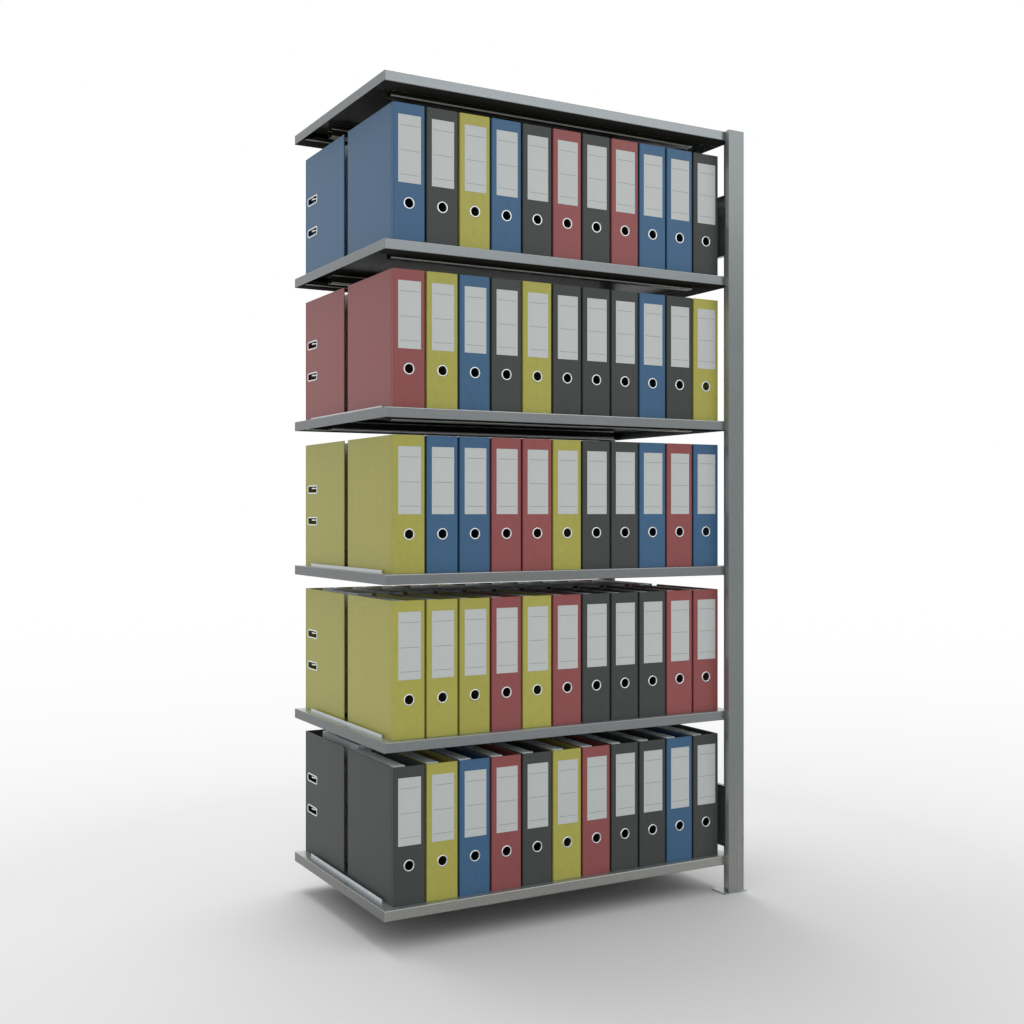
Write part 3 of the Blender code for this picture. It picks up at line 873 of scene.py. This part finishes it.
def label_paper():
    """Label paper with a little fibre and its ruled lines."""
    material, tree, shader = start_material("label paper")
    place = shade(tree, "Attribute", attribute_name="file_place").outputs["Vector"]
    axes = shade(tree, "SeparateXYZ", {"Vector": place}).outputs
    middle = (RULED_FROM + RULED_TO) / 2
    across = within(tree, axes["X"], middle, RULED_TO - middle)
    lines = [within(tree, axes["Z"], height, RULED_HALF) for height in RULED_HEIGHTS]
    ruled = times(tree, total(tree, *lines), across)
    fibre = noise(tree, place, scale=300.0, detail=4.0)
    stain = noise(tree, place, scale=25.0, detail=2.0)
    tone = total(tree, swing(tree, fibre, FIBRE_TONE, middle=1.0), swing(tree, stain, STAIN_TONE))
    color = blend(tree, ruled, toned(tree, LABEL_PAPER, tone), LABEL_INK)
    tree.links.new(color, shader.inputs["Base Color"])
    tree.links.new(relief(tree, fibre, strength=0.15, distance=0.0001), shader.inputs["Normal"])
    shader.inputs["Roughness"].default_value = LABEL_ROUGHNESS
    return material


label_mesh = template(spine_label(), "spine label")
label_finish = label_paper()
for row, body, files in file_rows:
    piece_from(stand_files(label_mesh, files), row + "_labels", [label_finish], body)

# Fittings of the files. A nickel-plated eyelet round each finger hole, a rim pressed round each arch slot,
# and the two wire arches, which come out of the papers and end in the slots.

EYELET_PROFILE = (
    (0.0107, 0.0030), (0.0107, -0.0005), (0.0113, -0.0012),
    (0.0123, -0.0015), (0.0133, -0.0011), (0.0139, 0.0),
)
EYELET_STEPS = 24
RIM_WIDTH = 0.0033
RIM_HEIGHT = 0.0011
RIM_LIP = 0.0006
ARCH_WIRE = 0.0024
ARCH_WIRE_SIDES = 8
ARCH_RADIUS = 0.0200
ARCH_STEPS = 10
ARCH_TIP_PROUD = 0.0008
ARCH_LIFT = 0.0030
ARCH_ROOT = 0.0020
FITTING_WELD = 0.000001
NICKEL = (0.66, 0.69, 0.70, 1.0)
NICKEL_ROUGHNESS = 0.24
WIPED_TONE = 0.16
WIPED_ROUGHNESS = 0.14


def eyelet(bm):
    """Finger ring turned from its profile."""
    centre = Vector((FILE_WIDTH / 2, 0.0, FINGER_HOLE_HEIGHT))
    profile = [bm.verts.new(centre + Vector((radius, y, 0.0))) for radius, y in EYELET_PROFILE]
    edges = [bm.edges.new(pair) for pair in zip(profile, profile[1:])]
    bmesh.ops.spin(
        bm, geom=profile + edges, cent=centre, axis=(0.0, 1.0, 0.0), angle=2 * math.pi,
        steps=EYELET_STEPS, use_merge=True
    )


def slot_rim(bm, height):
    """Rim pressed round one slot of the front cover."""
    grow = RIM_WIDTH - RIM_LIP
    plate = rounded_plate(
        bm, ARCH_SLOT_LENGTH + 2 * grow, ARCH_SLOT_WIDTH + 2 * grow, ARCH_SLOT_CORNER + grow,
        slot_plane(height)
    )
    ring = bmesh.ops.inset_region(
        bm, faces=[plate], thickness=RIM_WIDTH, use_boundary=True, use_even_offset=True
    )["faces"]
    bmesh.ops.delete(bm, geom=[plate], context="FACES")
    bmesh.ops.inset_region(bm, faces=ring, thickness=RIM_HEIGHT, use_boundary=True, use_even_offset=True)
    for vertex in {vertex for face in ring for vertex in face.verts}:
        vertex.co.x += RIM_HEIGHT


def arch(bm, height):
    """Wire arch from the papers to a slot and back."""
    crown = FILE_WIDTH + ARCH_TIP_PROUD - ARCH_WIRE - ARCH_RADIUS
    centre = Vector((crown, ARCH_SLOT_SETBACK + ARCH_SLOT_LENGTH / 2, height + ARCH_LIFT))
    foot = FILE_BOARD + PAPER_THICKNESS - ARCH_ROOT
    side = Matrix.Translation(centre - Vector((0.0, ARCH_RADIUS, 0.0)))
    wire = bmesh.ops.create_circle(
        bm, segments=ARCH_WIRE_SIDES, radius=ARCH_WIRE, matrix=side @ Matrix.Rotation(math.pi / 2, 4, "Y")
    )["verts"]
    start = list({edge for vertex in wire for edge in vertex.link_edges})
    bend = bmesh.ops.spin(
        bm, geom=wire + start, cent=centre, axis=(0.0, 0.0, 1.0), angle=math.pi, steps=ARCH_STEPS
    )["geom_last"]
    finish = [item for item in bend if isinstance(item, bmesh.types.BMEdge)]
    for loop in (start, finish):
        leg = corners(bmesh.ops.extrude_edge_only(bm, edges=loop)["geom"])
        for vertex in leg:
            vertex.co.x = foot


def file_fittings():
    """Eyelet, slot rims and arches of one file."""
    bm = bmesh.new()
    eyelet(bm)
    for height in ARCH_SLOT_HEIGHTS:
        slot_rim(bm, height)
        arch(bm, height)
    bmesh.ops.remove_doubles(bm, verts=bm.verts, dist=FITTING_WELD)
    bmesh.ops.recalc_face_normals(bm, faces=bm.faces)
    for face in bm.faces:
        face.smooth = True
    return bm


def nickel():
    """Nickel plate with faint wiping marks."""
    material, tree, shader = start_material("nickel plate")
    place = shade(tree, "Attribute", attribute_name="file_place").outputs["Vector"]
    wiped = noise(tree, place, scale=500.0, detail=3.0)
    color = toned(tree, NICKEL, swing(tree, wiped, WIPED_TONE, middle=1.0))
    tree.links.new(color, shader.inputs["Base Color"])
    tree.links.new(swing(tree, wiped, WIPED_ROUGHNESS, NICKEL_ROUGHNESS), shader.inputs["Roughness"])
    shader.inputs["Metallic"].default_value = 1.0
    return material


fittings = template(file_fittings(), "file fittings")
nickel_plate = nickel()
for row, body, files in file_rows:
    piece_from(stand_files(fittings, files), row + "_fittings", [nickel_plate], body)

# Studio. A pale floor that fades to white, under a soft dome of light. Large soft lamps stand before and
# behind the shelves and beside the camera, which is level with the middle shelf at the photograph's angle.

FLOOR_REACH = 14.0
FLOOR_BELOW = 0.0002
FLOOR_GREY = (0.634, 0.625, 0.631, 1.0)
FLOOR_ROUGHNESS = 0.9
FLOOR_GLOSS = 0.2
FADE_FROM = 1.4
FADE_LENGTH = 1.2
WHITE = (1.0, 1.0, 1.0, 1.0)
DOME_TINT = (0.985, 1.0, 0.995, 1.0)
DOME_EDGE = 0.72
DOME_TOP = 0.99
LENS = 45.21
LENS_FRAME = 36.0
CAMERA_PLACE = (-1.68695, -2.9635, 0.9994)
CAMERA_TURN = math.radians(-29.34)

floor_bm = bmesh.new()
bmesh.ops.create_grid(floor_bm, x_segments=1, y_segments=1, size=FLOOR_REACH)
bmesh.ops.translate(floor_bm, vec=(0.0, 0.0, -FLOOR_BELOW), verts=floor_bm.verts)
floor_mesh = bpy.data.meshes.new("floor")
floor_bm.to_mesh(floor_mesh)
floor_bm.free()
floor = bpy.data.objects.new("floor", floor_mesh)
bpy.context.collection.objects.link(floor)


def seen_rays(tree):
    """1 for the rays that show the background: seen directly, in a gloss or through glass."""
    path = shade(tree, "LightPath").outputs
    rays = {0: path["Is Camera Ray"], 1: path["Is Glossy Ray"]}
    direct = shade(tree, "Math", rays, operation="MAXIMUM").outputs[0]
    return shade(tree, "Math", {0: direct, 1: path["Is Transmission Ray"]}, operation="MAXIMUM").outputs[0]


floor_paint, tree, matt = start_material("pale floor")
matt.inputs["Base Color"].default_value = FLOOR_GREY
matt.inputs["Roughness"].default_value = FLOOR_ROUGHNESS
matt.inputs["Specular IOR Level"].default_value = FLOOR_GLOSS
spot = shade(tree, "TexCoord").outputs["Object"]
reach = shade(tree, "VectorMath", {0: spot}, operation="LENGTH").outputs["Value"]
beyond = shade(tree, "Math", {0: reach, 1: FADE_FROM}, operation="SUBTRACT").outputs[0]
beyond = shade(tree, "Math", {0: beyond, 1: 0.0}, operation="MAXIMUM").outputs[0]
shown = shade(tree, "Math", {0: math.exp(-1 / FADE_LENGTH), 1: beyond}, operation="POWER").outputs[0]
fade = shade(tree, "Math", {0: 1.0, 1: shown}, operation="SUBTRACT").outputs[0]
veil = times(tree, fade, seen_rays(tree))
white = shade(tree, "Emission", {"Color": WHITE, "Strength": 1.0})
mixed = shade(tree, "MixShader", {0: veil, 1: matt.outputs["BSDF"], 2: white.outputs["Emission"]})
tree.links.new(mixed.outputs["Shader"], tree.nodes["Material Output"].inputs["Surface"])
floor_mesh.materials.append(floor_paint)

world = bpy.data.worlds.new("studio")
world.use_nodes = True
tree = world.node_tree
dome = tree.nodes["Background"]
dome.inputs["Color"].default_value = DOME_TINT
upward = shade(tree, "SeparateXYZ", {"Vector": shade(tree, "TexCoord").outputs["Generated"]}).outputs["Z"]
strength = shade(tree, "MapRange", {"Value": upward, "To Min": DOME_EDGE, "To Max": DOME_TOP})
tree.links.new(strength.outputs["Result"], dome.inputs["Strength"])
backdrop = shade(tree, "Background", {"Color": WHITE, "Strength": 1.0})
lights = {0: seen_rays(tree), 1: dome.outputs["Background"], 2: backdrop.outputs["Background"]}
mixed = shade(tree, "MixShader", lights)
tree.links.new(mixed.outputs["Shader"], tree.nodes["World Output"].inputs["Surface"])
bpy.context.scene.world = world


def soft_lamp(name, place, aim, width, height, power, color=(1.0, 1.0, 1.0)):
    """Soft box that looks at a point."""
    lamp = bpy.data.lights.new(name, "AREA")
    lamp.shape = "RECTANGLE"
    lamp.size = width
    lamp.size_y = height
    lamp.energy = power
    lamp.color = color
    box = bpy.data.objects.new(name, lamp)
    box.location = place
    box.rotation_euler = (Vector(aim) - Vector(place)).to_track_quat("-Z", "Y").to_euler()
    box.visible_camera = False
    bpy.context.collection.objects.link(box)


soft_lamp(
    "front lamp", place=(1.67, -3.26, 3.05), aim=(0.0, -0.3, 1.6), width=3.2, height=1.35, power=24.0,
    color=(0.95, 1.0, 1.02)
)
soft_lamp("back lamp", place=(0.0, 2.0, 5.0), aim=(0.0, 0.0, 0.8), width=3.5, height=3.5, power=155.0)
soft_lamp("fill lamp", place=(-1.9, -4.1, 1.3), aim=(0.0, 0.0, 1.0), width=2.0, height=2.0, power=13.0)

lens = bpy.data.cameras.new("camera")
lens.lens = LENS
lens.sensor_width = LENS_FRAME
camera = bpy.data.objects.new("camera", lens)
camera.location = CAMERA_PLACE
camera.rotation_euler = (math.radians(90.0), 0.0, CAMERA_TURN)
bpy.context.collection.objects.link(camera)
bpy.context.scene.camera = camera
bpy.context.scene.view_settings.view_transform = "Standard"
